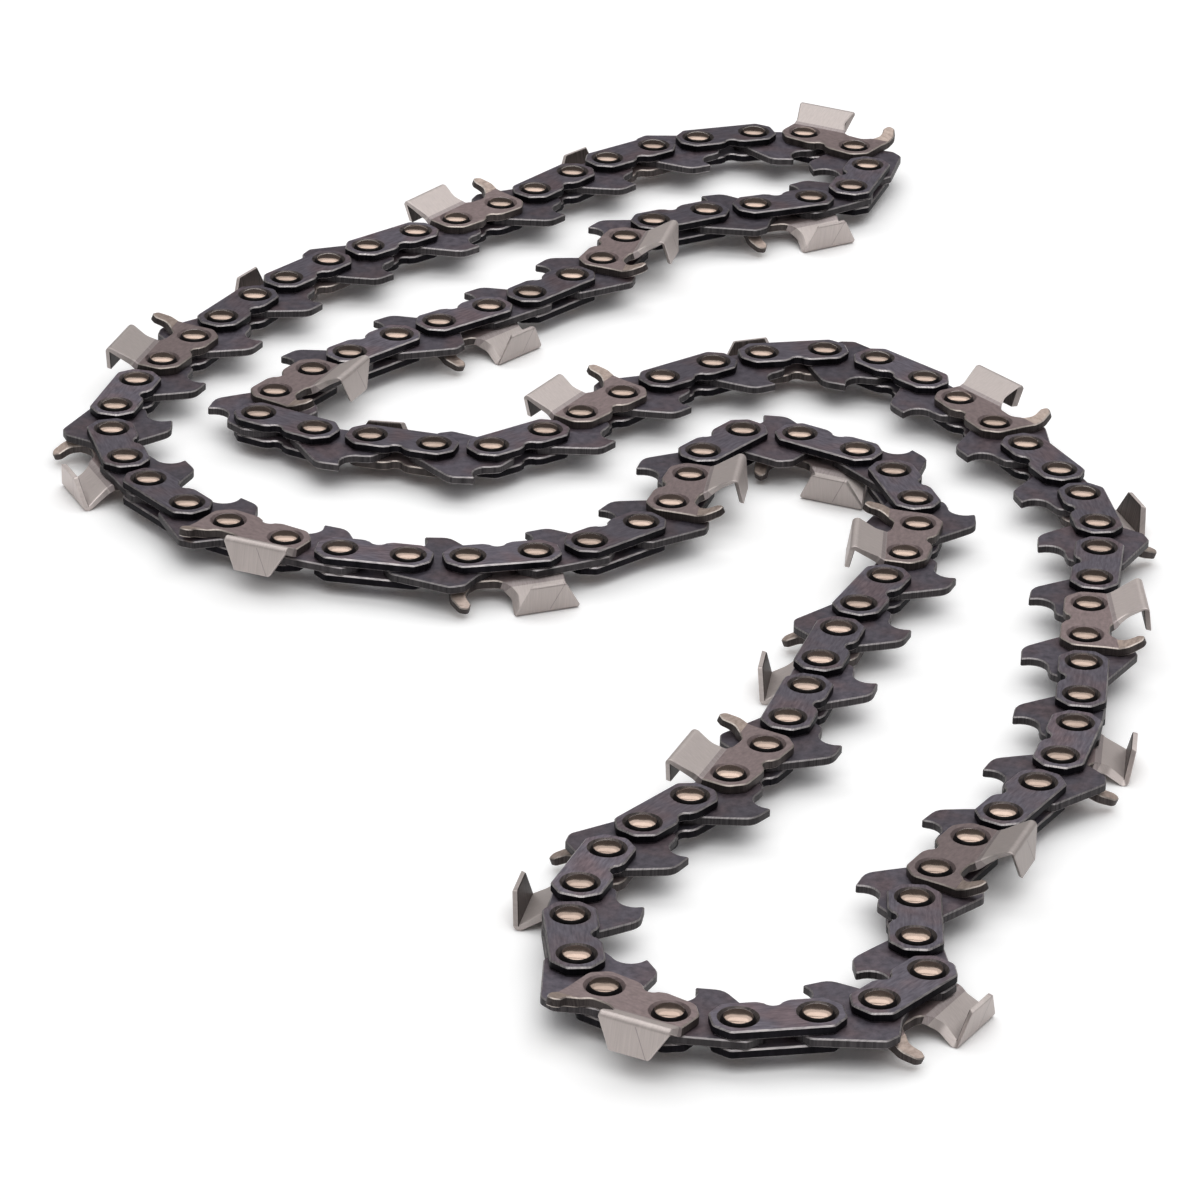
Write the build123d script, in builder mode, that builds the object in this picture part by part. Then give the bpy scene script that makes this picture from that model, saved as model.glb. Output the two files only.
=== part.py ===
from build123d import *
from math import atan2, cos, degrees, pi, radians, sin, tan
import os

os.makedirs("parts", exist_ok=True)

# A chainsaw chain lying on its side as a closed loop, with its rivets upright.
# World frame: millimetres, +Z up, floor at z = 0, middle of the loop over the origin.
# Link frame: origin on a link's rear rivet, x forward along the chain's run, y away from
# the guide bar, z up. Cutters stand on the +y side and drive tangs on the -y side.

# Driving dimensions
pitch = 9.32                 # half the distance over three rivets in a row
drive_link_count = 56        # a multiple of four: two cutters to every four drive links
spacing_ratio = 1.164        # rivet spacing of an outer link over that of a drive link
gauge = 1.27                 # thickness of a drive link, which runs in the bar groove
plate = 1.35                 # thickness of a tie strap or a cutter
rivet_radius = 2.3
rivet_sides = 6              # facets of a rivet's domed end: there are many of them
head_height = 0.8            # how far a rivet stands out of the outer plates
tang_depth = 8.8             # tip of a drive tang below the rivet line
bumper_height = 7.6          # ramp of a drive link in front of a cutter
cutter_height = 9.0          # working corner of a cutter above the rivet line
gauge_drop = 0.4             # depth gauge below the working corner
kerf_offset = 2.2            # how far the working corner leans out past the cutter's body
top_plate_width = 4.7
top_plate_slope = 9.0        # degrees by which a top plate falls to the rear

# Clearances
side_play = 0.04             # drive link under the plates above it
strap_gap = 1.5              # between the ends of two tie straps in a row
drive_gap = 3.0              # between the ends of two drive links in a row

# The loop as it lies, through points chosen by hand in the chain's running direction
route = [
    (3, 102), (-9.5, 80.5), (-46, 44), (-51.5, 27.5), (-39, 23), (-16.5, 19.5), (-0.5, 36),
    (38.5, 58), (60, 33), (73, 3), (70, -31.5), (61, -81.5), (42.5, -127.5), (43.5, -131),
    (9.5, -146.5), (0.5, -109.5), (20.5, -80.5), (35.5, -35.5), (47, -2), (37, 23), (21, 27.5),
    (11, 2.5), (-39, -17), (-74, 30), (-66.5, 51.5), (-48, 85), (-16.5, 116), (8, 142.5),
    (40.5, 146), (42.5, 130),
]
route_samples = 4000

# Worked out from the above
outer_spacing = 2 * pitch * spacing_ratio / (1 + spacing_ratio)
inner_spacing = 2 * pitch - outer_spacing
strap_end = (inner_spacing - strap_gap) / 2       # end of a strap beyond its rivet, and half its height
drive_end = (outer_spacing - drive_gap) / 2
corner = 0.44                                     # share of an end that stays flat between its chamfers
lower_level = plate + kerf_offset                 # inner face of the lower plates above the floor
upper_level = lower_level + gauge + side_play     # inner face of the upper plates


def step_along(points, spacings):
    """Walk the closed polyline in straight steps; return the rivets and the place reached."""
    count = len(points)
    rivets = [points[0]]
    place = 0
    share = 0.0
    for spacing in spacings:
        here = rivets[-1]
        while (points[(place + 1) % count] - here).length < spacing:
            place += 1
        start = points[place % count]
        edge = points[(place + 1) % count] - start
        low, high = 0.0, 1.0
        for _ in range(30):
            share = (low + high) / 2
            if (start + edge * share - here).length < spacing:
                low = share
            else:
                high = share
        rivets.append(start + edge * share)
    return rivets, place + share


def lay_rivets():
    """Scale the route until the chain's alternate spacings close on it; return all rivets."""
    with BuildLine() as loop:
        Spline(route, periodic=True)
    samples = loop.edge().positions([i / route_samples for i in range(route_samples)])
    spacings = [outer_spacing, inner_spacing] * drive_link_count
    guess = sum(spacings) / loop.edge().length
    low, high = 0.8 * guess, 1.2 * guess
    for _ in range(40):
        scale = (low + high) / 2
        reached = step_along(samples, [spacing / scale for spacing in spacings])[1]
        if reached > route_samples:
            low = scale
        else:
            high = scale
    return [rivet * scale for rivet in step_along(samples, [s / scale for s in spacings])[0]]


def link_place(rear, front, level):
    """Return the location of a link that points from its rear rivet to its front rivet."""
    run = front - rear
    return Location((rear.X, rear.Y, level), (0, 0, degrees(atan2(run.Y, run.X))))


def add_rivet_ends():
    """Raise the domed ends of both rivets out of the outer plate that is open."""
    for x in (0, outer_spacing):
        with BuildSketch(Plane.XY.offset(plate)) as end:
            with Locations((x, 0)):
                RegularPolygon(rivet_radius, rivet_sides)
        loft([end.sketch.face(), Vertex(x, 0, plate + head_height)])


def plate_foot():
    """Return the bar-side points of an outer plate, from its rear end to its front end."""
    return [
        (-strap_end, -corner * strap_end),
        (-corner * strap_end, -strap_end),
        (outer_spacing + corner * strap_end, -strap_end),
        (outer_spacing + strap_end, -corner * strap_end),
    ]


# Tie strap, with the ends of the two rivets that are peened fast to it
with BuildPart() as strap:
    with BuildSketch():
        Polygon(
            *plate_foot(),
            (outer_spacing + strap_end, corner * strap_end),
            (outer_spacing + corner * strap_end, strap_end),
            (-corner * strap_end, strap_end),
            (-strap_end, corner * strap_end),
            align=None,
        )
    extrude(amount=plate)
    add_rivet_ends()

lower_strap = mirror(strap.part, about=Plane.XY)


def drive_link(crown):
    """Return a drive link whose edge away from the bar passes through the crown's points."""
    front = inner_spacing + drive_end
    flat = corner * drive_end
    tip = (0.6 * inner_spacing, -tang_depth)
    throat = (0.9 * inner_spacing, -0.61 * tang_depth)
    scoop = (
        throat[0] - (throat[0] - tip[0]) * cos(pi / 4),
        tip[1] + (throat[1] - tip[1]) * sin(pi / 4),
    )
    with BuildPart() as link:
        with BuildSketch():
            Polygon(
                tip,
                (0.3 * inner_spacing, -tang_depth),
                (-flat, -drive_end),
                (-drive_end, -flat),
                (-drive_end, flat),
                *crown,
                (front, flat),
                (front, -flat),
                (inner_spacing + flat, -1.25 * drive_end),
                throat,
                scoop,
                align=None,
            )
        extrude(amount=gauge)
    return link.part


# Drive links: plain behind a cutter, and with a bumper ramp in front of one
plain_crown = [(-corner * drive_end, drive_end), (inner_spacing + corner * drive_end, drive_end)]
bumper_crown = [
    (-corner * drive_end, drive_end),
    (0.05 * inner_spacing, 0.9 * bumper_height),
    (0.38 * inner_spacing, bumper_height),
    (inner_spacing + 0.7 * drive_end, drive_end),
]
plain_link = drive_link(plain_crown)
bumper_link = drive_link(bumper_crown)

# Cutter, right-hand: a bent sheet drawn as a section and trimmed by its outline in plan.
# The section is square to the fold of the top plate, which falls to the rear.
slope = radians(top_plate_slope)
working_corner = 0.46 * outer_spacing             # x of the working corner
heel = -0.5 * outer_spacing                       # x of the top plate's rear end
fold = (cutter_height - working_corner * tan(slope)) * cos(slope)
bend = 0.92 * strap_end                           # where the side plate starts to lean out
lean = atan2(kerf_offset, fold - bend)
crest = plate + kerf_offset
inner_fold = fold - plate
inner_bend = bend + plate * tan(lean / 2)
inner_crest = (inner_fold - inner_bend) * tan(lean)
free_edge = crest - top_plate_width
reach = 4 * outer_spacing
fold_run = Vector(cos(slope), sin(slope), 0)
fold_side = Vector(-sin(slope), cos(slope), 0)
section_plane = Plane(fold_run * (-reach / 2), x_dir=fold_side, z_dir=fold_run)
top_plate_plane = Plane(fold_side * (inner_fold - plate), x_dir=fold_run, z_dir=fold_side)
prong = outer_spacing + strap_end                 # x of the depth gauge's front
prong_top = cutter_height - gauge_drop
gullet_floor = 1.28 * strap_end
with BuildPart() as cutter:
    with BuildSketch(section_plane):
        Polygon(
            (-2 * strap_end, 0),
            (inner_bend, 0),
            (inner_fold, inner_crest),
            (inner_fold, free_edge),
            (fold, free_edge),
            (fold, crest),
            (bend, plate),
            (-2 * strap_end, plate),
            align=None,
        )
    extrude(amount=reach)
    with BuildSketch(Plane.XY.offset(-reach)):
        Polygon(
            (working_corner, 0.7 * cutter_height),
            (working_corner, 2 * cutter_height),
            (heel, 2 * cutter_height),
            (heel, 0.8 * cutter_height),
            (-strap_end, 0.9 * strap_end),
            *plate_foot(),
            (prong + 0.2 * strap_end, 0.9 * prong_top),
            (prong - 0.2 * strap_end, prong_top),
            (prong - 0.7 * strap_end, 0.92 * prong_top),
            (0.9 * outer_spacing, gullet_floor),
            (0.6 * outer_spacing, gullet_floor),
            align=None,
        )
    extrude(amount=2 * reach, mode=Mode.INTERSECT)
    with BuildSketch(top_plate_plane):
        Polygon(
            (working_corner, crest),
            (working_corner - 0.4 * top_plate_width, free_edge),
            (working_corner + plate, free_edge),
            (working_corner + plate, crest),
            align=None,
        )
        Polygon(
            (heel, crest),
            (heel - plate, crest),
            (heel - plate, free_edge),
            (heel + 0.5 * top_plate_width, free_edge),
            align=None,
        )
    extrude(amount=4 * plate, mode=Mode.SUBTRACT)
    add_rivet_ends()

left_cutter = mirror(cutter.part, about=Plane.XY)

# Lay the links along the loop, four outer and four drive links to each repeat
rivets = lay_rivets()
pieces = {}
for repeat in range(drive_link_count // 4):
    number = f"{repeat + 1:02d}"
    upper_places = []
    lower_places = []
    plain_places = []
    bumper_places = []
    for link in range(4):
        rear, front, following = rivets[8 * repeat + 2 * link:8 * repeat + 2 * link + 3]
        upper = link_place(rear, front, upper_level)
        lower = link_place(rear, front, lower_level)
        drive = link_place(front, following, lower_level)
        # The upper plate of the first link and the lower plate of the third are cutters.
        if link == 0:
            pieces["cutter_right_" + number] = cutter.part.moved(upper)
        else:
            upper_places.append(upper)
        if link == 2:
            pieces["cutter_left_" + number] = left_cutter.moved(lower)
        else:
            lower_places.append(lower)
        if link in (0, 2):
            bumper_places.append(drive)
        else:
            plain_places.append(drive)
    with BuildPart() as tie_straps:
        with Locations(*upper_places):
            add(strap.part)
        with Locations(*lower_places):
            add(lower_strap)
    pieces["tie_straps_" + number] = tie_straps.part
    with BuildPart() as drive_links:
        with Locations(*plain_places):
            add(plain_link)
        with Locations(*bumper_places):
            add(bumper_link)
    pieces["drive_links_" + number] = drive_links.part

# Centre the loop over the origin and write each piece
box = Compound(list(pieces.values())).bounding_box()
middle = Location((-box.center().X, -box.center().Y, 0))
for name, piece in pieces.items():
    placed = piece.moved(middle)
    placed.label = name
    export_step(placed, f"parts/{name}.step")
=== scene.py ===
import bpy
import bmesh
import random
from math import atan2, ceil, cos, pi, radians, sin, tan
from mathutils import Matrix, Vector, geometry


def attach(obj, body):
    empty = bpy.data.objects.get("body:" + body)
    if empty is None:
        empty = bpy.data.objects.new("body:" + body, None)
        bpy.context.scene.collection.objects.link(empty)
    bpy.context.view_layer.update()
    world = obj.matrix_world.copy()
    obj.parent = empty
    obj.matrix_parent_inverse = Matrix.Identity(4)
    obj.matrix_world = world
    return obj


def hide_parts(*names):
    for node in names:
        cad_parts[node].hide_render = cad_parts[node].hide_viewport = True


# A chainsaw chain lying on its side as a closed loop. Shapes are drawn in millimetres in the
# frame of one link: origin on its rear rivet, x forward along the chain's run, y away from the
# guide bar, z up. Copies of them are laid on the rivets of the CAD model and replace its links.

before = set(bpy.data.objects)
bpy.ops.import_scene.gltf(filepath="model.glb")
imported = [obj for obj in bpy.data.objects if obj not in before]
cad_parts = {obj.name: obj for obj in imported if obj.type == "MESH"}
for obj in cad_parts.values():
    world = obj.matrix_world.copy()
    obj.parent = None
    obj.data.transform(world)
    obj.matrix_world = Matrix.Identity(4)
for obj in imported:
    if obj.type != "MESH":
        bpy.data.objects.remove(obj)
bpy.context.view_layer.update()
MM = 0.001


# What the CAD model gives: the rivets in order, and the levels and reach of the links

def points_of(node):
    """Return the points of a CAD node in millimetres, each once."""
    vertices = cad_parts[node].data.vertices
    return sorted({tuple(round(c / MM, 2) for c in v.co) for v in vertices})


def rivet_ends(node, level):
    """Return the places of the rivet ends that a node has at one level."""
    return [Vector(p[:2]) for p in points_of(node) if abs(p[2] - level) < 0.02]


def spacing_error(pair, other, spacing):
    """Return how far the best-fitting rivets of two links are from one spacing."""
    return min(abs((a - b).length - spacing) for a in pair for b in other)


levels = sorted({p[2] for p in points_of("tie_straps_01")})
lower_end, lower_under, lower_top, upper_under, upper_top, upper_end = levels
plate = upper_top - upper_under
head_height = upper_end - upper_top
drive_levels = sorted({p[2] for p in points_of("drive_links_01")})
gauge = drive_levels[-1] - drive_levels[0]
repeats = sum(name.startswith("cutter_right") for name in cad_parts)
first_pair = rivet_ends("cutter_right_01", upper_end)
pitch = 9.32                  # 3/8 inch low-profile chain: half the run of two links
outer_spacing = (first_pair[0] - first_pair[1]).length
inner_spacing = 2 * pitch - outer_spacing
same_rivet = 0.1              # rivets nearer than this are one
spacing_slack = 0.05


def link_pairs():
    """Return the rivet pair of every outer link, in the order of the chain."""
    pairs = []
    for repeat in range(1, repeats + 1):
        right = rivet_ends(f"cutter_right_{repeat:02d}", upper_end)
        left = rivet_ends(f"cutter_left_{repeat:02d}", lower_end)
        ends = rivet_ends(f"tie_straps_{repeat:02d}", upper_end)
        straps = []
        for i, a in enumerate(ends):
            over_cutter = min((a - p).length for p in left) < same_rivet
            for b in ends[i + 1:]:
                fits = abs((a - b).length - outer_spacing) < spacing_slack
                if fits and not over_cutter:
                    straps.append([a, b])
        straps.sort(key=lambda pair: spacing_error(pair, right, inner_spacing)
                    + spacing_error(pair, left, inner_spacing))
        pairs += [right, straps[0], left, straps[1]]
    return pairs


def chain_links():
    """Return (rear rivet, front rivet) of every outer link, in the running direction."""
    pairs = link_pairs()
    links = []
    for pair, following in zip(pairs, pairs[1:] + pairs[:1]):
        errors = [spacing_error([end], following, inner_spacing) for end in pair]
        front = errors.index(min(errors))
        links.append((pair[1 - front], pair[front]))
    return links


def link_matrix(rear, front, level):
    """Return the transform from a link's millimetres to the scene's metres."""
    turn = atan2(front.y - rear.y, front.x - rear.x)
    place = Matrix.Translation((rear.x * MM, rear.y * MM, level * MM))
    return place @ Matrix.Rotation(turn, 4, "Z") @ Matrix.Scale(MM, 4)


def local_points(node, rear, front):
    """Return the points of a CAD node in the frame of one link."""
    back = link_matrix(rear, front, 0).inverted()
    return [back @ (Vector(p) * MM) for p in points_of(node)]


links = chain_links()
strap_gap = 1.5               # between the ends of outer links that follow each other
drive_gap = 3.0               # between the ends of drive links that follow each other
strap_end = (inner_spacing - strap_gap) / 2
drive_end = (outer_spacing - drive_gap) / 2
cutter_points = local_points("cutter_right_01", *links[0])
cutter_height = max(p.y for p in cutter_points)
crest = max(p.z for p in cutter_points) - upper_under
tang_depth = 8.8
bumper_height = 7.6
flat_share = 0.44             # straight part of a link's end, between its cut corners


# Outlines and solids

def arc(centre, radius, start, end, count):
    """Return points on an arc, with its angles in degrees."""
    turns = [radians(start + (end - start) * i / (count - 1)) for i in range(count)]
    return [(centre[0] + radius * cos(t), centre[1] + radius * sin(t)) for t in turns]


def rounded(points, step=radians(18), side_share=0.48):
    """Return an outline whose corners, given as (x, y, radius), are turned into arcs."""
    outline = []
    count = len(points)
    for i, point in enumerate(points):
        here = Vector(point[:2])
        radius = point[2] if len(point) > 2 else 0
        if radius == 0:
            outline.append(here)
            continue
        back = Vector(points[i - 1][:2]) - here
        ahead = Vector(points[(i + 1) % count][:2]) - here
        angle = back.angle(ahead)
        run = min(radius / tan(angle / 2), side_share * back.length, side_share * ahead.length)
        radius = run * tan(angle / 2)
        inward = (back.normalized() + ahead.normalized()).normalized()
        centre = here + inward * radius / sin(angle / 2)
        start = here + back.normalized() * run - centre
        sweep = pi - angle
        turn = 1 if back.x * ahead.y - back.y * ahead.x < 0 else -1
        pieces = max(2, ceil(sweep / step))
        for k in range(pieces + 1):
            spin = Matrix.Rotation(turn * sweep * k / pieces, 2)
            outline.append(centre + spin @ start)
    area = sum(a.x * b.y - a.y * b.x for a, b in zip(outline, outline[1:] + outline[:1]))
    return outline if area > 0 else outline[::-1]


def inset(outline, depth):
    """Return the outline moved inward by one depth, with mitred corners of limited length."""
    moved = []
    count = len(outline)
    for i, here in enumerate(outline):
        before = (here - outline[i - 1]).normalized()
        after = (outline[(i + 1) % count] - here).normalized()
        normal = Vector((-before.y - after.y, before.x + after.x))
        normal /= max(0.5, normal.length ** 2 / 2)
        moved.append(here + normal * depth)
    return moved


class Shape:
    """Points, faces and the material of each face, in a link's millimetres."""

    def __init__(self):
        self.points = []
        self.faces = []
        self.looks = []

    def ring(self, outline, z):
        """Add a ring of points and return their numbers."""
        first = len(self.points)
        self.points += [Vector((p.x, p.y, z)) for p in outline]
        return list(range(first, len(self.points)))

    def circle(self, centre, radius, z, count=32):
        """Add a round ring of points and return their numbers."""
        places = arc(centre, radius, 0, 360 - 360 / count, count)
        return self.ring([Vector(p) for p in places], z)

    def bridge(self, low, high, look):
        """Join two rings of equal length, the first one seen from outside below the other."""
        count = len(low)
        for i in range(count):
            j = (i + 1) % count
            self.faces.append((low[i], low[j], high[j], high[i]))
            self.looks.append(look)

    def cap(self, rings, look, up=True):
        """Fill the first ring, leaving the others open."""
        numbers = [n for ring in rings for n in ring]
        borders = [[self.points[n] for n in ring] for ring in rings]
        for tri in geometry.tessellate_polygon(borders):
            a, b, c = (numbers[i] for i in tri)
            side = (self.points[b] - self.points[a]).cross(self.points[c] - self.points[a]).z
            self.faces.append((a, b, c) if (side > 0) == up else (a, c, b))
            self.looks.append(look)


# The numbers of the looks are places in a piece's list of materials
FACE, EDGE, RIM, DISH, BLEND, BRIGHT, UNDER_SHADE, PRONG = range(8)
dish_radius = 2.7             # dish around a rivet's end, at the plate's face
dish_floor = 2.3
dish_depth = 0.5


def plate_shape(outline, low, high, bevel, dishes=()):
    """Return a plate with bevelled rims, and a dish in its upper face around each rivet."""
    shape = Shape()
    inner = inset(outline, bevel)
    rings = [
        shape.ring(inner, low),
        shape.ring(outline, low + bevel),
        shape.ring(outline, high - bevel),
        shape.ring(inner, high),
    ]
    shape.cap([rings[0]], FACE, up=False)
    shape.bridge(rings[0], rings[1], EDGE)
    shape.bridge(rings[1], rings[2], RIM)
    shape.bridge(rings[2], rings[3], EDGE)
    mouths = [shape.circle(place, dish_radius, high) for place in dishes]
    floors = [shape.circle(place, dish_floor, high - dish_depth) for place in dishes]
    shape.cap([rings[3]] + mouths, FACE)
    for mouth, floor in zip(mouths, floors):
        shape.bridge(mouth, floor, DISH)
        shape.cap([floor], DISH)
    return shape


def plate_foot(radius):
    """Return the bar-side corners of an outer plate, with the round notch in its foot."""
    middle = outer_spacing / 2
    flat = flat_share * strap_end
    notch = 1.2
    lip = 0.9
    lip_radius = 1.6
    return [
        (-strap_end, -flat, radius),
        (-flat, -strap_end, radius),
        (middle - notch - lip, -strap_end, lip_radius),
        *arc((middle, -strap_end), notch, 155, 25, 8),
        (middle + notch + lip, -strap_end, lip_radius),
        (outer_spacing + flat, -strap_end, radius),
        (outer_spacing + strap_end, -flat, radius),
    ]


def strap_shape():
    """Return a tie strap, its outer face up at z = plate."""
    flat = flat_share * strap_end
    radius = 1.0
    bevel = 0.2
    corners = plate_foot(radius) + [
        (outer_spacing + strap_end, flat, radius),
        (outer_spacing + flat, strap_end, radius),
        (-flat, strap_end, radius),
        (-strap_end, flat, radius),
    ]
    return plate_shape(rounded(corners), 0, plate, bevel, ((0, 0), (outer_spacing, 0)))


def drive_shape(crown):
    """Return a drive link whose edge away from the bar has the crown's corners."""
    front = inner_spacing + drive_end
    flat = flat_share * drive_end
    radius = 0.8
    bevel = 0.18
    tip = (0.73 * inner_spacing, -tang_depth)
    hook = (0.97 * inner_spacing, -0.83 * tang_depth)
    hook_radius = 2.4         # round bite in front of the tang's tip
    corners = [
        (*tip, 0.3),
        (0.3 * inner_spacing, -tang_depth, 2.4),
        (0.03 * inner_spacing, -0.67 * tang_depth, 6.0),
        (-flat, -drive_end, 1.5),
        (-drive_end, -flat, radius),
        (-drive_end, flat, radius),
        *crown,
        (front, flat, radius),
        (front, -flat, radius),
        (inner_spacing + flat, -1.3 * drive_end, 1.2),
        *arc(hook, hook_radius, 85, 205, 9),
    ]
    return plate_shape(rounded(corners), 0, gauge, bevel)


plain_crown = [
    (-flat_share * drive_end, drive_end, 0.8),
    (inner_spacing + flat_share * drive_end, drive_end, 0.8),
]
bumper_crown = [
    (-flat_share * drive_end, drive_end, 1.0),
    (0.05 * inner_spacing, 0.9 * bumper_height, 1.0),
    (0.3 * inner_spacing, bumper_height, 1.2),
    (inner_spacing + 0.7 * drive_end, drive_end, 0.8),
]


def rivet_shape():
    """Return the domed end of a rivet, standing in its dish; z = 0 is the plate's face."""
    shape = Shape()
    foot = -0.6 * dish_depth
    rise = 0.7 * head_height - foot
    reach = 0.94 * dish_floor
    skirt = (1.02 * dish_floor, -1.1 * dish_depth)
    fullness = 2 / 2.3            # flatter on top than an ellipse
    # The lowest bands of the dome take the dark rim look: a dark oxide edge, widened as painted
    # shade where the dome would otherwise reflect the overhead lamp.
    oxide_and_shade_bands = 4
    profile = [skirt, (reach, foot)]
    for turn in range(10, 90, 10):
        across, up = cos(radians(turn)) ** fullness, sin(radians(turn)) ** fullness
        profile.append((reach * across, foot + rise * up))
    rings = [shape.circle((0, 0), r, z) for r, z in profile]
    shape.cap([rings[0]], EDGE, up=False)
    for i, (low, high) in enumerate(zip(rings, rings[1:])):
        shape.bridge(low, high, EDGE if i < oxide_and_shade_bands else FACE)
    shape.cap([rings[-1]], FACE)
    return shape


# Cutter: a sheet drawn flat, cut to its outline and then bent

slope = radians(9)            # of the bend lines, which fall to the rear
lean = radians(31)            # of the side plate out of the body's plane
gauge_lean = radians(21)      # of the depth gauge out of the body's plane
tilt = radians(10)            # of the top plate away from upright
bend_start = 2.6
bend_radius = 1.2
fold_radius = 0.4
top_plate_width = 4.7
thin = 0.58                   # thickness of the top plate as a share of the body's
gauge_thin = 0.6              # share of that thinning which the depth gauge is spared
bend_rise = (bend_radius + fold_radius) * (1 - cos(lean))
side_length = (crest - plate / 2 - thin * plate / 2 - bend_rise) / sin(lean)
bend_end = bend_start + bend_radius * lean
fold_start = bend_end + side_length
fold_turn = lean + pi / 2 - tilt
fold_end = fold_start + fold_radius * fold_turn
sheet_end = fold_end + (top_plate_width - fold_radius - thin * plate / 2) / cos(tilt)
bend_steps = 4
fold_steps = 8
edge_sweep = 0.4 * top_plate_width    # of the cutting edge, to the rear
heel_sweep = 0.5 * top_plate_width    # of the top plate's rear edge, to the front
undercut = 0.7                # how far the cutting edges hang over their inner side
witness = 5.2                 # sharpening limit mark behind the cutting edge
witness_width = 0.12
blend_start = bend_start + 0.3
bright_start = bend_end + 0.5
gauge_line = 0.7 * outer_spacing      # outline points in front of it belong to the gauge
prong_line = 0.75 * outer_spacing     # faces in front of it have the gauge's look
gauge_from = 0.62 * outer_spacing     # here the side plate's lean starts to change
gauge_run = 0.25 * outer_spacing      # into the gauge's
gauge_cuts = (0.62, 0.7, 0.78, 0.87)  # cuts across that change, as shares of the spacing
undercut_from = 0.25 * outer_spacing
undercut_until = 0.95 * outer_spacing
undercut_run = 0.2 * outer_spacing


def ramp(value, start, run):
    """Return 0 up to the start, 1 after the run and the share of the run between them."""
    return min(1, max(0, (value - start) / run))


def sheet_place(x, y):
    """Return where a point of the cutter, seen from above, lies in the flat sheet."""
    along = x * cos(slope) + y * sin(slope)
    up = y * cos(slope) - x * sin(slope)
    if up > bend_start:
        angle = gauge_lean if x > gauge_line else lean
        up = bend_start + (up - bend_start) / cos(angle)
    return along, up


def bent(point):
    """Return the place of a flat-sheet point (along, up, height over the middle) once bent."""
    along, up, over = point
    if over < 0 and up > bend_start:
        near = ramp(along, undercut_from, undercut_run)
        away = ramp(-along, -undercut_until, undercut_run)
        along -= undercut * near * away * ramp(up, bend_start, bend_radius)
    front = ramp(along, gauge_from, gauge_run)
    angle = lean + (gauge_lean - lean) * front
    share = ramp(up, bend_start, fold_start - bend_start)
    over *= 1 - (1 - thin) * share * (1 - gauge_thin * front)
    turn = min(max(0, up - bend_start) / bend_radius, angle)
    start_up = min(up, bend_start)
    across = start_up + bend_radius * sin(turn)
    rise = plate / 2 + bend_radius * (1 - cos(turn))
    straight = max(0, up - bend_start - bend_radius * angle)
    if front == 0:
        straight = min(straight, side_length)
    across += straight * cos(angle)
    rise += straight * sin(angle)
    heading = turn
    if front == 0 and up > fold_start:
        curl = min((up - fold_start) / fold_radius, fold_turn)
        across += fold_radius * (sin(angle) - sin(angle - curl))
        rise += fold_radius * (cos(angle - curl) - cos(angle))
        heading = angle - curl
        rest = max(0, up - fold_end)
        across += rest * cos(heading)
        rise += rest * sin(heading)
    across -= over * sin(heading)
    rise += over * cos(heading)
    x = along * cos(slope) - across * sin(slope)
    y = along * sin(slope) + across * cos(slope)
    return Vector((x, y, rise))


corner_x = 0.46 * outer_spacing       # the cutting corner, seen from above
heel_x = -0.5 * outer_spacing
front_along = sheet_place(corner_x, cutter_height)[0]
heel_along = sheet_place(heel_x, 0.82 * cutter_height)[0]
mark = Vector((front_along - witness, fold_end, 0))
edge_run = Vector((-edge_sweep, sheet_end - fold_end, 0)).normalized()
mark_side = Vector((edge_run.y, -edge_run.x, 0))


def cutter_outline():
    """Return the outline of a right-hand cutter's flat sheet."""
    prong = outer_spacing + strap_end
    prong_top = cutter_height - 0.4
    rear = (-strap_end, 0.95 * strap_end, 0.8)
    plan = plate_foot(1.6) + [
        (prong, 0.85 * strap_end, 0.8),
        (prong + 0.1 * strap_end, 0.75 * prong_top, 1.8),
        (prong - 0.18 * strap_end, 0.97 * prong_top, 1.0),
        (prong - 0.55 * strap_end, prong_top, 0.6),
        (prong - 0.68 * strap_end, 0.89 * prong_top, 0.5),
        (prong - 0.52 * strap_end, 0.7 * prong_top, 1.4),
        (prong - 0.85 * strap_end, 0.52 * prong_top, 1.6),
        (0.95 * outer_spacing, 0.95 * strap_end, 1.8),
        (0.62 * outer_spacing, 0.95 * strap_end, 1.8),
        (corner_x, 0.62 * cutter_height, 1.6),
    ]
    corners = [(*sheet_place(*corner[:2]), *corner[2:]) for corner in plan]
    corners += [
        (front_along, fold_start, 0),
        (front_along, fold_end, 0),
        (front_along - edge_sweep, sheet_end, 0.3),
        (heel_along + heel_sweep, sheet_end, 0.3),
        (heel_along, fold_end, 0),
        (heel_along, fold_start, 0),
        (*sheet_place(*rear[:2]), *rear[2:]),
    ]
    return rounded(corners)


def cut_across(mesh, place, normal):
    """Cut all faces of a mesh along one plane."""
    geom = mesh.verts[:] + mesh.edges[:] + mesh.faces[:]
    bmesh.ops.bisect_plane(mesh, geom=geom, dist=1e-5, plane_co=place, plane_no=normal)


def cutter_look(middle, normal, look):
    """Return the look of a face of the flat sheet, from its middle and its plain plate's look."""
    if middle.y <= blend_start:
        return look
    if middle.x > prong_line:
        return PRONG if look == FACE else look
    # Faces under the top plate, on its inner side, take a dark look: painted shade and a painted
    # dark reflection of the chain.
    if middle.y > fold_start and normal.z < -0.5:
        return UNDER_SHADE
    if middle.y > fold_end and abs((middle - mark).dot(mark_side)) < witness_width / 2:
        return BLEND
    return BRIGHT if middle.y > bright_start else BLEND


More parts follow.
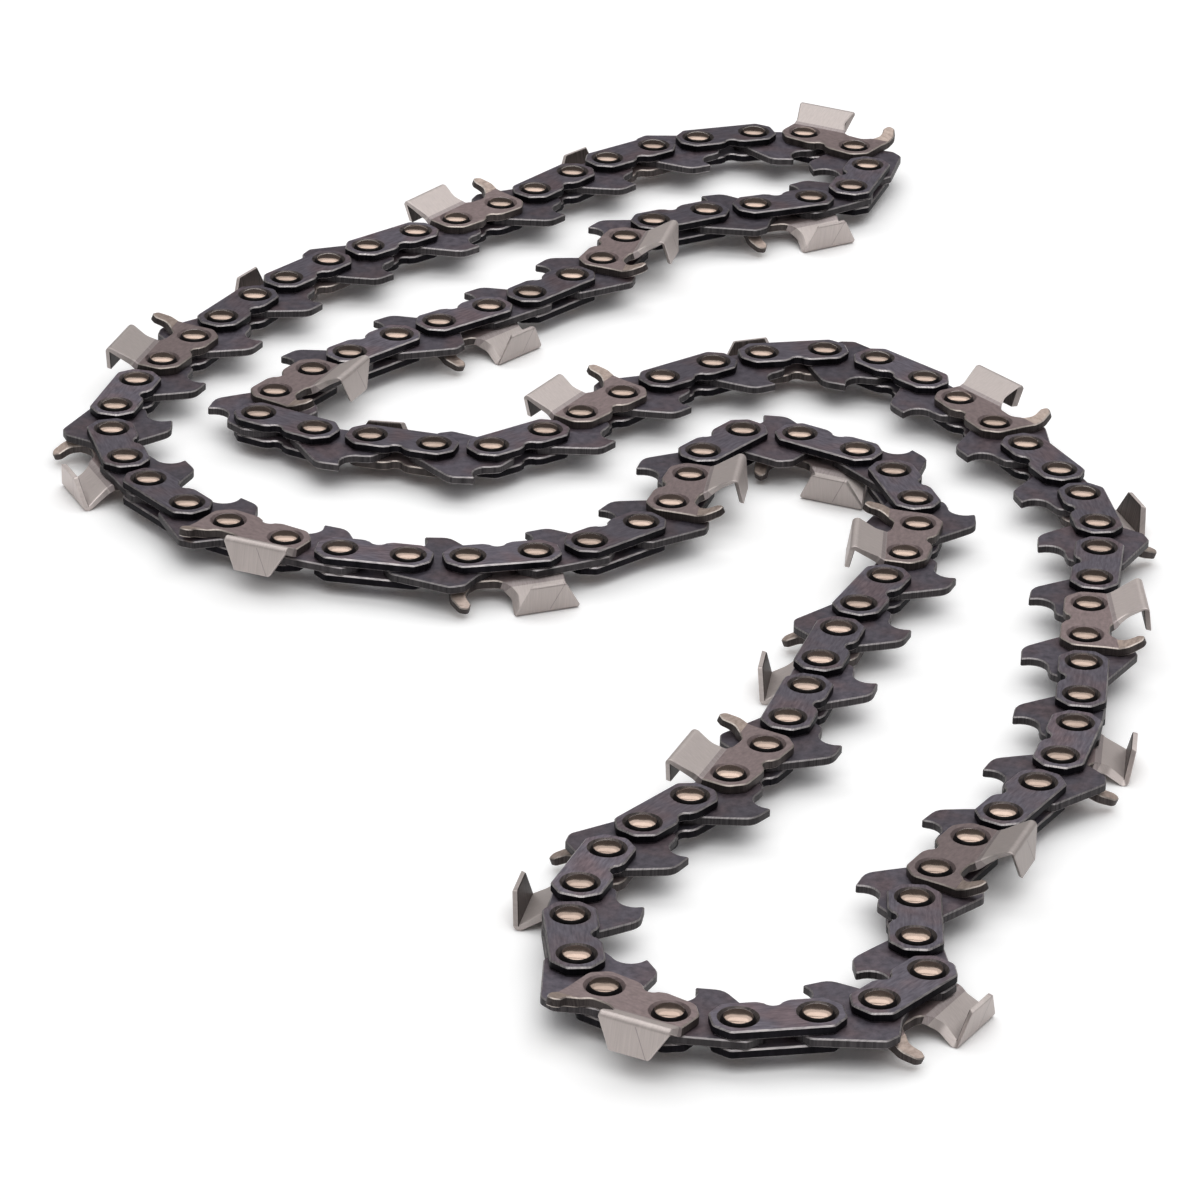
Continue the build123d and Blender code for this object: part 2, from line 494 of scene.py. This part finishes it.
def cutter_shape():
    """Return a right-hand cutter, its outer face up."""
    dishes = [sheet_place(0, 0), sheet_place(outer_spacing, 0)]
    bevel = 0.16
    flat = plate_shape(cutter_outline(), -plate / 2, plate / 2, bevel, dishes)
    mesh = bmesh.new()
    points = [mesh.verts.new(p) for p in flat.points]
    for face, look in zip(flat.faces, flat.looks):
        made = mesh.faces.new([points[n] for n in face])
        made.material_index = look
    bends = [bend_start + bend_radius * lean * i / bend_steps for i in range(bend_steps + 1)]
    bends += [fold_start + fold_radius * fold_turn * i / fold_steps for i in range(fold_steps + 1)]
    bends += [blend_start, bright_start]
    for up in bends:
        cut_across(mesh, (0, up, 0), (0, 1, 0))
    for side in (-0.5, 0.5):
        cut_across(mesh, mark + mark_side * witness_width * side, mark_side)
    for share in gauge_cuts:
        cut_across(mesh, (share * outer_spacing, 0, 0), (1, 0, 0))
    mesh.verts.index_update()
    mesh.normal_update()
    shape = Shape()
    shape.points = [bent(v.co) for v in mesh.verts]
    for face in mesh.faces:
        shape.faces.append(tuple(v.index for v in face.verts))
        middle = face.calc_center_median()
        shape.looks.append(cutter_look(middle, face.normal, face.material_index))
    mesh.free()
    return shape


# Pieces

chance = random.Random(7)
tone_range = (0.8, 1.22)      # how much darker or lighter one link is than another
grain_scale = 0.1             # texture units in a millimetre
grain_span = 50               # how far apart the grains of two links may start
sharp_angle = radians(28)     # edges that turn more than this stay sharp


def piece(name, copies, materials, node=None):
    """Make one object from (shape, matrix, flip) copies, and let it replace a CAD node."""
    points = []
    faces = []
    looks = []
    grain = []
    tones = []
    for shape, matrix, flip in copies:
        first = len(points)
        shift = Vector((chance.uniform(0, grain_span), chance.uniform(0, grain_span)))
        tones += [chance.uniform(*tone_range)] * len(shape.points)
        side = Matrix.Scale(-1, 4, (0, 0, 1)) if flip else Matrix.Identity(4)
        points += [matrix @ side @ p for p in shape.points]
        for face, look in zip(shape.faces, shape.looks):
            order = face[::-1] if flip else face
            faces.append([first + n for n in order])
            looks.append(look)
            for n in order:
                place = shape.points[n]
                grain += (grain_scale * place.x + shift.x, grain_scale * place.y + shift.y)
    mesh = bpy.data.meshes.new(name)
    mesh.from_pydata(points, [], faces)
    mesh.polygons.foreach_set("material_index", looks)
    mesh.polygons.foreach_set("use_smooth", [True] * len(faces))
    mesh.uv_layers.new(name="grain").data.foreach_set("uv", grain)
    mesh.attributes.new("tone", "FLOAT", "POINT").data.foreach_set("value", tones)
    mesh.set_sharp_from_angle(angle=sharp_angle)
    for material in materials:
        mesh.materials.append(material)
    made = bpy.data.objects.new(name, mesh)
    bpy.context.scene.collection.objects.link(made)
    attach(made, "root")
    if node:
        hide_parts(node)


# Materials: metals with a grain that follows each link's own coordinates

def metal(name, dark, light, metallic, roughness, stretch=(1.0, 8.0), scale=6.0, bump=0.15,
          tint=None, specular=0.5):
    """Return a metal whose colour and gloss vary along a stretched grain, with tinted patches."""
    material = bpy.data.materials.new(name)
    material.use_nodes = True
    nodes = material.node_tree.nodes
    wire = material.node_tree.links.new
    shader = nodes["Principled BSDF"]
    shader.inputs["Metallic"].default_value = metallic
    shader.inputs["Specular IOR Level"].default_value = specular
    uv = nodes.new("ShaderNodeUVMap")
    uv.uv_map = "grain"
    spread = nodes.new("ShaderNodeMapping")
    spread.inputs["Scale"].default_value = (*stretch, 1)
    wire(uv.outputs["UV"], spread.inputs["Vector"])
    noise = nodes.new("ShaderNodeTexNoise")
    noise.inputs["Scale"].default_value = scale
    noise.inputs["Detail"].default_value = 5
    noise.inputs["Roughness"].default_value = 0.65
    wire(spread.outputs["Vector"], noise.inputs["Vector"])
    colours = nodes.new("ShaderNodeValToRGB")
    colours.color_ramp.elements[0].position = 0.32
    colours.color_ramp.elements[0].color = (*dark, 1)
    colours.color_ramp.elements[1].position = 0.68
    colours.color_ramp.elements[1].color = (*light, 1)
    wire(noise.outputs["Fac"], colours.inputs["Fac"])
    colour = colours.outputs["Color"]
    if tint:
        patches = nodes.new("ShaderNodeTexNoise")
        patches.inputs["Scale"].default_value = 1.6
        patches.inputs["Detail"].default_value = 2
        wire(uv.outputs["UV"], patches.inputs["Vector"])
        amount = nodes.new("ShaderNodeMapRange")
        amount.inputs["From Min"].default_value = 0.45
        amount.inputs["From Max"].default_value = 0.65
        amount.inputs["To Max"].default_value = 0.75
        wire(patches.outputs["Fac"], amount.inputs["Value"])
        mix = nodes.new("ShaderNodeMix")
        mix.data_type = "RGBA"
        mix.blend_type = "MULTIPLY"
        wire(amount.outputs["Result"], mix.inputs["Factor"])
        wire(colour, mix.inputs[6])
        mix.inputs[7].default_value = (*tint, 1)
        colour = mix.outputs[2]
    tone = nodes.new("ShaderNodeAttribute")
    tone.attribute_name = "tone"
    toned = nodes.new("ShaderNodeVectorMath")
    toned.operation = "SCALE"
    wire(colour, toned.inputs[0])
    wire(tone.outputs["Fac"], toned.inputs["Scale"])
    wire(toned.outputs["Vector"], shader.inputs["Base Color"])
    gloss = nodes.new("ShaderNodeMapRange")
    gloss.inputs["To Min"].default_value = 0.8 * roughness
    gloss.inputs["To Max"].default_value = 1.2 * roughness
    wire(noise.outputs["Fac"], gloss.inputs["Value"])
    wire(gloss.outputs["Result"], shader.inputs["Roughness"])
    relief = nodes.new("ShaderNodeBump")
    relief.inputs["Strength"].default_value = bump
    relief.inputs["Distance"].default_value = 0.00005
    wire(noise.outputs["Fac"], relief.inputs["Height"])
    wire(relief.outputs["Normal"], shader.inputs["Normal"])
    return material


# Each list is in the order of the looks
brown = (1.22, 0.95, 0.84)
strap_looks = [
    metal("strap_face", (0.080, 0.071, 0.091), (0.192, 0.173, 0.208), 0.5, 0.40,
          (1, 5), 5.0, tint=brown),
    # Lighter bevels: partly rubbed wear, partly a painted highlight along the plate's edges.
    metal("strap_edge_wear_and_highlight", (0.15, 0.138, 0.145), (0.46, 0.43, 0.425), 0.7, 0.38),
    # The strap rims are near black with little gloss: painted shade for the dark band under each
    # plate's bevel.
    metal("strap_rim_painted_shade", (0.003, 0.003, 0.004), (0.014, 0.012, 0.016), 0.3, 0.5,
          specular=0.06),
    metal("strap_dish", (0.055, 0.047, 0.048), (0.19, 0.16, 0.15), 0.6, 0.42),
]
drive_looks = [
    metal("drive_face", (0.049, 0.043, 0.057), (0.117, 0.102, 0.125), 0.4, 0.5,
          (1, 1), 9.0, tint=brown),
    # Lighter bevels: partly rubbed wear, partly a painted highlight along the link's edges.
    metal("drive_edge_wear_and_highlight", (0.14, 0.13, 0.135), (0.36, 0.335, 0.335), 0.6, 0.42),
    metal("drive_rim", (0.018, 0.016, 0.018), (0.080, 0.072, 0.075), 0.4, 0.5,
          specular=0.2),
]
cutter_face = metal("cutter_face", (0.182, 0.139, 0.138), (0.283, 0.217, 0.214), 0.45, 0.5,
                    (1, 2), 9.0)
cutter_looks = [
    cutter_face,
    # Lighter bevels: partly rubbed wear, partly a painted highlight along the cutter's edges.
    metal("cutter_edge_wear_and_highlight", (0.28, 0.245, 0.22), (0.50, 0.44, 0.40), 0.7, 0.4),
    metal("cutter_rim", (0.032, 0.026, 0.025), (0.090, 0.075, 0.072), 0.4, 0.5,
          specular=0.2),
    cutter_face,
    metal("cutter_blend", (0.28, 0.235, 0.23), (0.40, 0.345, 0.34), 0.45, 0.45,
          (6, 1), 8.0),
    metal("cutter_bright", (0.47, 0.415, 0.395), (0.56, 0.497, 0.474), 0.4, 0.45,
          (6, 1), 8.0),
    # Inner face of the top plate: painted shade and a painted dark reflection of the chain.
    metal("cutter_under_painted_shade", (0.032, 0.026, 0.025), (0.11, 0.092, 0.087), 0.4, 0.45,
          (6, 1), 6.0, specular=0.2),
    metal("cutter_prong", (0.30, 0.232, 0.20), (0.52, 0.42, 0.365), 0.5, 0.42,
          (1, 2), 9.0),
]
rivet_looks = [
    metal("rivet_cap", (0.30, 0.226, 0.186), (0.35, 0.268, 0.224), 0.92, 0.15,
          (1, 1), 5.0, bump=0.01),
    # Dark ring at the rivet's foot: oxide edge and painted shade.
    metal("rivet_rim_oxide_and_shade", (0.006, 0.005, 0.006), (0.016, 0.014, 0.014), 0.3, 0.5,
          (1, 1), 9.0, specular=0.1),
]

# Lay the links: one piece for each CAD node, and one for the rivets of each repeat
strap = strap_shape()
cutter = cutter_shape()
rivet = rivet_shape()
plain = drive_shape(plain_crown)
bumper = drive_shape(bumper_crown)
for repeat in range(repeats):
    number = f"{repeat + 1:02d}"
    straps = []
    drives = []
    rivets = []
    for k in range(4):
        place = 4 * repeat + k
        rear, front = links[place]
        following = links[(place + 1) % len(links)][0]
        upper = link_matrix(rear, front, upper_under)
        lower = link_matrix(rear, front, lower_top)
        drive = link_matrix(front, following, drive_levels[0])
        if k == 0:
            piece("saw_cutter_right_" + number, [(cutter, upper, False)], cutter_looks,
                  "cutter_right_" + number)
        else:
            straps.append((strap, upper, False))
        if k == 2:
            piece("saw_cutter_left_" + number, [(cutter, lower, True)], cutter_looks,
                  "cutter_left_" + number)
        else:
            straps.append((strap, lower, True))
        drives.append((bumper if k in (0, 2) else plain, drive, False))
        for end in (rear, front):
            rivets.append((rivet, link_matrix(end, end + front - rear, upper_top), False))
            rivets.append((rivet, link_matrix(end, end + front - rear, lower_under), True))
    piece("straps_" + number, straps, strap_looks, "tie_straps_" + number)
    piece("drives_" + number, drives, drive_looks, "drive_links_" + number)
    piece("rivet_ends_" + number, rivets, rivet_looks)


# Stage: a white floor that runs on into a white surround

def seen_rays(nodes, wire):
    """Return a socket that is 1 for rays that show the background itself."""
    path = nodes.new("ShaderNodeLightPath")
    total = path.outputs["Is Camera Ray"]
    for other in ("Is Glossy Ray", "Is Transmission Ray"):
        add = nodes.new("ShaderNodeMath")
        add.use_clamp = True
        wire(total, add.inputs[0])
        wire(path.outputs[other], add.inputs[1])
        total = add.outputs[0]
    return total


def product(nodes, wire, first, second):
    """Return a socket with the product of two others."""
    times = nodes.new("ShaderNodeMath")
    times.operation = "MULTIPLY"
    wire(first, times.inputs[0])
    wire(second, times.inputs[1])
    return times.outputs[0]


def floor_material():
    """Return a matt white with a painted glow that lifts it where nothing stands near, clearing
    the soft fringe of the shadow, and that is plain white far away.
    """
    material = bpy.data.materials.new("floor_white")
    material.use_nodes = True
    nodes = material.node_tree.nodes
    wire = material.node_tree.links.new
    shader = nodes["Principled BSDF"]
    shader.inputs["Base Color"].default_value = (0.97, 0.97, 0.97, 1)
    shader.inputs["Roughness"].default_value = 0.9
    seen = seen_rays(nodes, wire)
    place = nodes.new("ShaderNodeTexCoord")
    distance = nodes.new("ShaderNodeVectorMath")
    distance.operation = "LENGTH"
    wire(place.outputs["Object"], distance.inputs[0])
    away = nodes.new("ShaderNodeMapRange")
    away.inputs["From Min"].default_value = 0.3
    away.inputs["From Max"].default_value = 0.8
    wire(distance.outputs["Value"], away.inputs["Value"])
    cover = nodes.new("ShaderNodeAmbientOcclusion")
    cover.samples = 4
    cover.inputs["Distance"].default_value = 0.012
    # Painted light on the floor: a glow, seen by the camera and in reflections, that grows where
    # ambient occlusion is open and whitens the shadow's fringe.
    lift = nodes.new("ShaderNodeMapRange")
    lift.inputs["From Min"].default_value = 0.3
    lift.inputs["From Max"].default_value = 0.6
    lift.inputs["To Max"].default_value = 0.2
    wire(cover.outputs["AO"], lift.inputs["Value"])
    open_glow = nodes.new("ShaderNodeEmission")
    wire(product(nodes, wire, lift.outputs["Result"], seen), open_glow.inputs["Strength"])
    lifted = nodes.new("ShaderNodeAddShader")
    wire(shader.outputs["BSDF"], lifted.inputs[0])
    wire(open_glow.outputs["Emission"], lifted.inputs[1])
    glow = nodes.new("ShaderNodeEmission")
    mix = nodes.new("ShaderNodeMixShader")
    wire(product(nodes, wire, away.outputs["Result"], seen), mix.inputs["Fac"])
    wire(lifted.outputs["Shader"], mix.inputs[1])
    wire(glow.outputs["Emission"], mix.inputs[2])
    wire(mix.outputs["Shader"], nodes["Material Output"].inputs["Surface"])
    return material


bpy.ops.mesh.primitive_plane_add(size=60, location=(0, 0, 0))
floor = bpy.context.object
floor.name = "floor"
floor.data.materials.append(floor_material())

# A dark card around the stage, which only reflections see
card_height = 2.2
bpy.ops.mesh.primitive_cylinder_add(vertices=48, radius=1.8, depth=card_height,
                                    end_fill_type="NOTHING", location=(0, 0, card_height / 2))
card = bpy.context.object
card.name = "card"
shade = bpy.data.materials.new("card_dark")
shade.use_nodes = True
shade.node_tree.nodes["Principled BSDF"].inputs["Base Color"].default_value = (
    0.12, 0.104, 0.104, 1)
card.data.materials.append(shade)
card.visible_camera = False
card.visible_diffuse = False
card.visible_shadow = False

# A surround that is white where it is seen, and lights the chain less
world = bpy.data.worlds.new("studio")
bpy.context.scene.world = world
world.use_nodes = True
world_nodes = world.node_tree.nodes
world_wire = world.node_tree.links.new
background = world_nodes["Background"]
background.inputs["Color"].default_value = (1, 1, 1, 1)
brightness = world_nodes.new("ShaderNodeMapRange")
brightness.inputs["To Min"].default_value = 0.25
brightness.inputs["To Max"].default_value = 1.0
world_wire(seen_rays(world_nodes, world_wire), brightness.inputs["Value"])
world_wire(brightness.outputs["Result"], background.inputs["Strength"])


def lamp(name, place, width, depth, power):
    """Add a rectangular soft light that points at the middle of the chain."""
    light = bpy.data.lights.new(name, "AREA")
    light.shape = "RECTANGLE"
    light.size = width
    light.size_y = depth
    light.energy = power
    made = bpy.data.objects.new(name, light)
    made.location = place
    made.rotation_euler = (-Vector(place)).to_track_quat("-Z", "Y").to_euler()
    bpy.context.scene.collection.objects.link(made)


lamp("overhead", (0, -0.64, 1.25), width=1.6, depth=1.1, power=8.5)
lamp("key", (0.1, 0.66, 1.2), width=2.8, depth=1.1, power=13.5)

# Camera: at the photograph's place, fitted to the rivets
camera_place = (0.00076, -0.76779, 0.36968)
camera_pitch = 0.4597
camera_roll = 0.0285
frame_width = 1200            # pixels
camera_focal = 5772.3         # in the same pixels
sensor_width = 36
camera_data = bpy.data.cameras.new("camera")
camera_data.sensor_width = sensor_width
camera_data.lens = sensor_width * camera_focal / frame_width
camera_data.clip_start = 0.01
camera = bpy.data.objects.new("camera", camera_data)
camera.matrix_world = (
    Matrix.Translation(camera_place)
    @ Matrix.Rotation(pi / 2 - camera_pitch, 4, "X")
    @ Matrix.Rotation(camera_roll, 4, "Z")
)
bpy.context.scene.collection.objects.link(camera)
bpy.context.scene.camera = camera
bpy.context.scene.view_settings.view_transform = "Standard"
